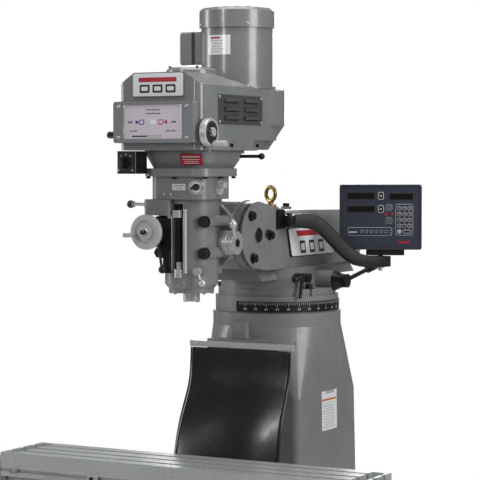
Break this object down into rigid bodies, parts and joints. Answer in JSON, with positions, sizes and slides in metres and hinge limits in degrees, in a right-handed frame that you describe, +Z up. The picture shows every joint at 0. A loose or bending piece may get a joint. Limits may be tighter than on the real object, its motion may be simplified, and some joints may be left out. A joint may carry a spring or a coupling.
{
  "type": "vertical milling machine",
  "caption": "Turret milling machine with a tilting belt-driven head, sliding ram, knee, cross saddle and long T-slot table with a swivel digital readout.",
  "frame": {"origin": "on the floor under the base, on the turret's turning axis", "axes": "+Z up, +X along the table to the operator's right, +Y away from the operator"},
  "size_m": [1.567, 1.421, 2.103],
  "materials": {
    "grey_paint": "semi-gloss grey machine enamel",
    "ground_steel": "ground and oiled",
    "bright_steel": "polished",
    "black_oxide": "satin black",
    "black_plastic": "moulded",
    "readout_shell": "dark blue-grey powder coat",
    "black_rubber": "smooth, slightly shiny sheet",
    "yellow_zinc": "yellow zinc plate",
    "table_iron": "ground top, fine ground sides"
  },
  "bodies": {
    "frame": {"base": "grey_paint", "column": "grey_paint", "elevating_nut": "grey_paint", "way_cover_bar": "ground_steel", "way_cover": "black_rubber"},
    "turret": {"turret": "grey_paint", "turret_scale": "black_oxide", "turret_bolts": "black_oxide"},
    "ram_lock": {"ram_lock_lever": "black_oxide"},
    "ram_lever": {"ram_drive_lever": "black_oxide"},
    "ram_pinion": {"ram_pinion": "ground_steel"},
    "ram": {"ram": "grey_paint", "eye_bolt": "yellow_zinc", "ram_bolts": "black_oxide", "dro_bracket": "black_oxide"},
    "dro_arm": {"dro_arm": "black_oxide"},
    "dro": {"dro_display": "readout_shell"},
    "adapter": {"adapter": "grey_paint", "nod_pin": "ground_steel"},
    "head": {"head": "grey_paint", "gear_case": "grey_paint", "gear_housing": "grey_paint", "belt_housing": "grey_paint", "speed_panel": "grey_paint", "switch_box": "black_plastic", "drawbar_cap": "grey_paint", "motor": "grey_paint", "fan_cover": "grey_paint", "terminal_box": "grey_paint", "head_bolts": "bright_steel", "feed_gear_case": "grey_paint", "trip_housing": "black_oxide", "depth_stop_rod": "ground_steel", "drive_belt": "black_rubber"},
    "speed_wheel": {"speed_handwheel": "bright_steel"},
    "switch": {"switch_knob": "black_plastic"},
    "fine_feed": {"fine_feed_handwheel": "bright_steel"},
    "feed_trip": {"feed_trip_lever": "black_oxide"},
    "feed_select": {"feed_selector": "bright_steel"},
    "quill_lever": {"quill_feed_lever": "bright_steel"},
    "quill_lock": {"quill_lock_lever": "bright_steel"},
    "gear_lever": {"gear_range_lever": "bright_steel"},
    "brake": {"brake_lever": "black_oxide"},
    "stop_nut": {"depth_stop_nut": "ground_steel"},
    "quill": {"quill": "ground_steel"},
    "spindle": {"spindle": "ground_steel", "drawbar": "ground_steel"},
    "spindle_pulley": {"spindle_pulley": "ground_steel"},
    "motor_pulley": {"motor_pulley": "ground_steel"},
    "knee": {"knee": "grey_paint"},
    "knee_crank": {"knee_crank": "bright_steel"},
    "knee_screw": {"knee_screw": "ground_steel"},
    "knee_lock": {"knee_lock_lever": "black_oxide"},
    "saddle": {"saddle": "grey_paint"},
    "cross_wheel": {"cross_handwheel": "bright_steel"},
    "saddle_lock": {"saddle_lock_lever": "black_oxide"},
    "table": {"table": "table_iron", "table_brackets": "grey_paint"},
    "table_screw": {"table_handwheels": "bright_steel"},
    "table_lock": {"table_lock_levers": "black_oxide"}
  },
  "joints": [
    {"name": "turret_swivel", "type": "hinge", "parent": "frame", "child": "turret", "pos_m": [0, 0, 1.147], "axis": [0, 0, 1], "range_deg": [-180, 180]},
    {"name": "ram_lock_turn", "type": "hinge", "parent": "turret", "child": "ram_lock", "pos_m": [0, -0.13, 1.261], "axis": [1, 0, 0], "range_deg": [-30, 5]},
    {"name": "ram_lever_turn", "type": "hinge", "parent": "turret", "child": "ram_lever", "pos_m": [0, 0.04, 1.244], "axis": [1, 0, 0], "range_deg": [-25, 28]},
    {"name": "ram_slide", "type": "slide", "parent": "turret", "child": "ram", "axis": [0, -1, 0], "range_m": [-0.165, 0.165]},
    {"name": "ram_pinion_turn", "type": "hinge", "parent": "turret", "child": "ram_pinion", "pos_m": [0, 0.04, 1.244], "axis": [1, 0, 0], "range_deg": [-892.87, 892.87]},
    {"name": "dro_arm_turn", "type": "hinge", "parent": "ram", "child": "dro_arm", "pos_m": [0.152, -0.205, 1.44], "axis": [0, 0, 1], "range_deg": [-60, 8]},
    {"name": "dro_turn", "type": "hinge", "parent": "dro_arm", "child": "dro", "pos_m": [0.34, 0.066, 1.32], "axis": [0, 0, 1], "range_deg": [-45, 45]},
    {"name": "nod", "type": "hinge", "parent": "ram", "child": "adapter", "pos_m": [0, -0.356, 1.403], "axis": [1, 0, 0], "range_deg": [-25, 45]},
    {"name": "head_tilt", "type": "hinge", "parent": "adapter", "child": "head", "pos_m": [0, -0.465, 1.403], "axis": [0, 1, 0], "range_deg": [-90, 90]},
    {"name": "speed_wheel_turn", "type": "hinge", "parent": "head", "child": "speed_wheel", "pos_m": [0.15, -0.727, 1.712], "axis": [1, 0, 0], "continuous": true},
    {"name": "switch_turn", "type": "hinge", "parent": "head", "child": "switch", "pos_m": [-0.117, -0.74, 1.626], "axis": [0, -1, 0], "range_deg": [-60, 60]},
    {"name": "fine_feed_turn", "type": "hinge", "parent": "head", "child": "fine_feed", "pos_m": [-0.068, -0.7, 1.42], "axis": [0, -1, 0], "continuous": true},
    {"name": "feed_trip_turn", "type": "hinge", "parent": "head", "child": "feed_trip", "pos_m": [-0.062, -0.646, 1.386], "axis": [0, -1, 0], "range_deg": [-25, 10]},
    {"name": "feed_select_turn", "type": "hinge", "parent": "head", "child": "feed_select", "pos_m": [-0.1, -0.622, 1.5], "axis": [1, 0, 0], "range_deg": [-25, 60]},
    {"name": "quill_slide", "type": "slide", "parent": "head", "child": "quill", "axis": [0, 0, 1], "range_m": [-0.127, 0]},
    {"name": "quill_lever_turn", "type": "hinge", "parent": "head", "child": "quill_lever", "pos_m": [0.1, -0.503, 1.384], "axis": [1, 0, 0], "range_deg": [0, 548.11]},
    {"name": "quill_lock_turn", "type": "hinge", "parent": "head", "child": "quill_lock", "pos_m": [0.062, -0.62, 1.303], "axis": [0, -1, 0], "range_deg": [-35, 35]},
    {"name": "gear_lever_turn", "type": "hinge", "parent": "head", "child": "gear_lever", "pos_m": [0.1, -0.56, 1.55], "axis": [1, 0, 0], "range_deg": [-90, 0]},
    {"name": "brake_turn", "type": "hinge", "parent": "head", "child": "brake", "pos_m": [0.092, -0.432, 1.646], "axis": [0, 0, 1], "range_deg": [-25, 15]},
    {"name": "stop_nut_slide", "type": "slide", "parent": "head", "child": "stop_nut", "axis": [0, 0, 1], "range_m": [0, 0.12]},
    {"name": "spindle_spin", "type": "hinge", "parent": "quill", "child": "spindle", "pos_m": [0, -0.553, 1.209], "axis": [0, 0, 1], "continuous": true},
    {"name": "spindle_pulley_spin", "type": "hinge", "parent": "head", "child": "spindle_pulley", "pos_m": [0, -0.553, 1.78], "axis": [0, 0, 1], "continuous": true},
    {"name": "motor_pulley_spin", "type": "hinge", "parent": "head", "child": "motor_pulley", "pos_m": [0, -0.27, 1.78], "axis": [0, 0, 1], "continuous": true},
    {"name": "knee_slide", "type": "slide", "parent": "frame", "child": "knee", "axis": [0, 0, 1], "range_m": [0, 0.406], "deforming": ["way_cover"]},
    {"name": "knee_crank_turn", "type": "hinge", "parent": "knee", "child": "knee_crank", "pos_m": [0, -0.37, 0.433], "axis": [-0.7071, -0.7071, 0], "range_deg": [-57548.31, 0]},
    {"name": "knee_screw_turn", "type": "hinge", "parent": "knee", "child": "knee_screw", "pos_m": [0, -0.37, 0.46], "axis": [0, 0, 1], "range_deg": [0, 57548.31]},
    {"name": "knee_lock_turn", "type": "hinge", "parent": "knee", "child": "knee_lock", "pos_m": [-0.18, -0.226, 0.43], "axis": [1, 0, 0], "range_deg": [-25, 25]},
    {"name": "saddle_slide", "type": "slide", "parent": "knee", "child": "saddle", "axis": [0, -1, 0], "range_m": [-0.13, 0.175]},
    {"name": "cross_wheel_turn", "type": "hinge", "parent": "knee", "child": "cross_wheel", "pos_m": [0, -0.85, 0.49], "axis": [0, -1, 0], "range_deg": [-9217.6, 12406.57]},
    {"name": "saddle_lock_turn", "type": "hinge", "parent": "saddle", "child": "saddle_lock", "pos_m": [-0.224, -0.48, 0.56], "axis": [1, 0, 0], "range_deg": [-30, 30]},
    {"name": "table_slide", "type": "slide", "parent": "saddle", "child": "table", "axis": [1, 0, 0], "range_m": [-0.365, 0.415]},
    {"name": "table_screw_turn", "type": "hinge", "parent": "table", "child": "table_screw", "pos_m": [0, -0.52, 0.614], "axis": [1, 0, 0], "range_deg": [-25871.14, 29839.65]},
    {"name": "table_lock_turn", "type": "hinge", "parent": "saddle", "child": "table_lock", "pos_m": [0.12, -0.64, 0.616], "axis": [0, -1, 0], "range_deg": [0, 30]}
  ],
  "couplings": [
    {"joint": "ram_pinion_turn", "follows": "ram_slide", "rad_per_m": 94.34},
    {"joint": "quill_lever_turn", "follows": "quill_slide", "rad_per_m": -75.188},
    {"joint": "spindle_pulley_spin", "follows": "spindle_spin", "ratio": 1},
    {"joint": "motor_pulley_spin", "follows": "spindle_spin", "ratio": 1},
    {"joint": "knee_crank_turn", "follows": "knee_slide", "rad_per_m": -2473.7},
    {"joint": "knee_screw_turn", "follows": "knee_slide", "rad_per_m": 2473.7},
    {"joint": "cross_wheel_turn", "follows": "saddle_slide", "rad_per_m": 1236.8},
    {"joint": "table_screw_turn", "follows": "table_slide", "rad_per_m": 1236.8}
  ]
}
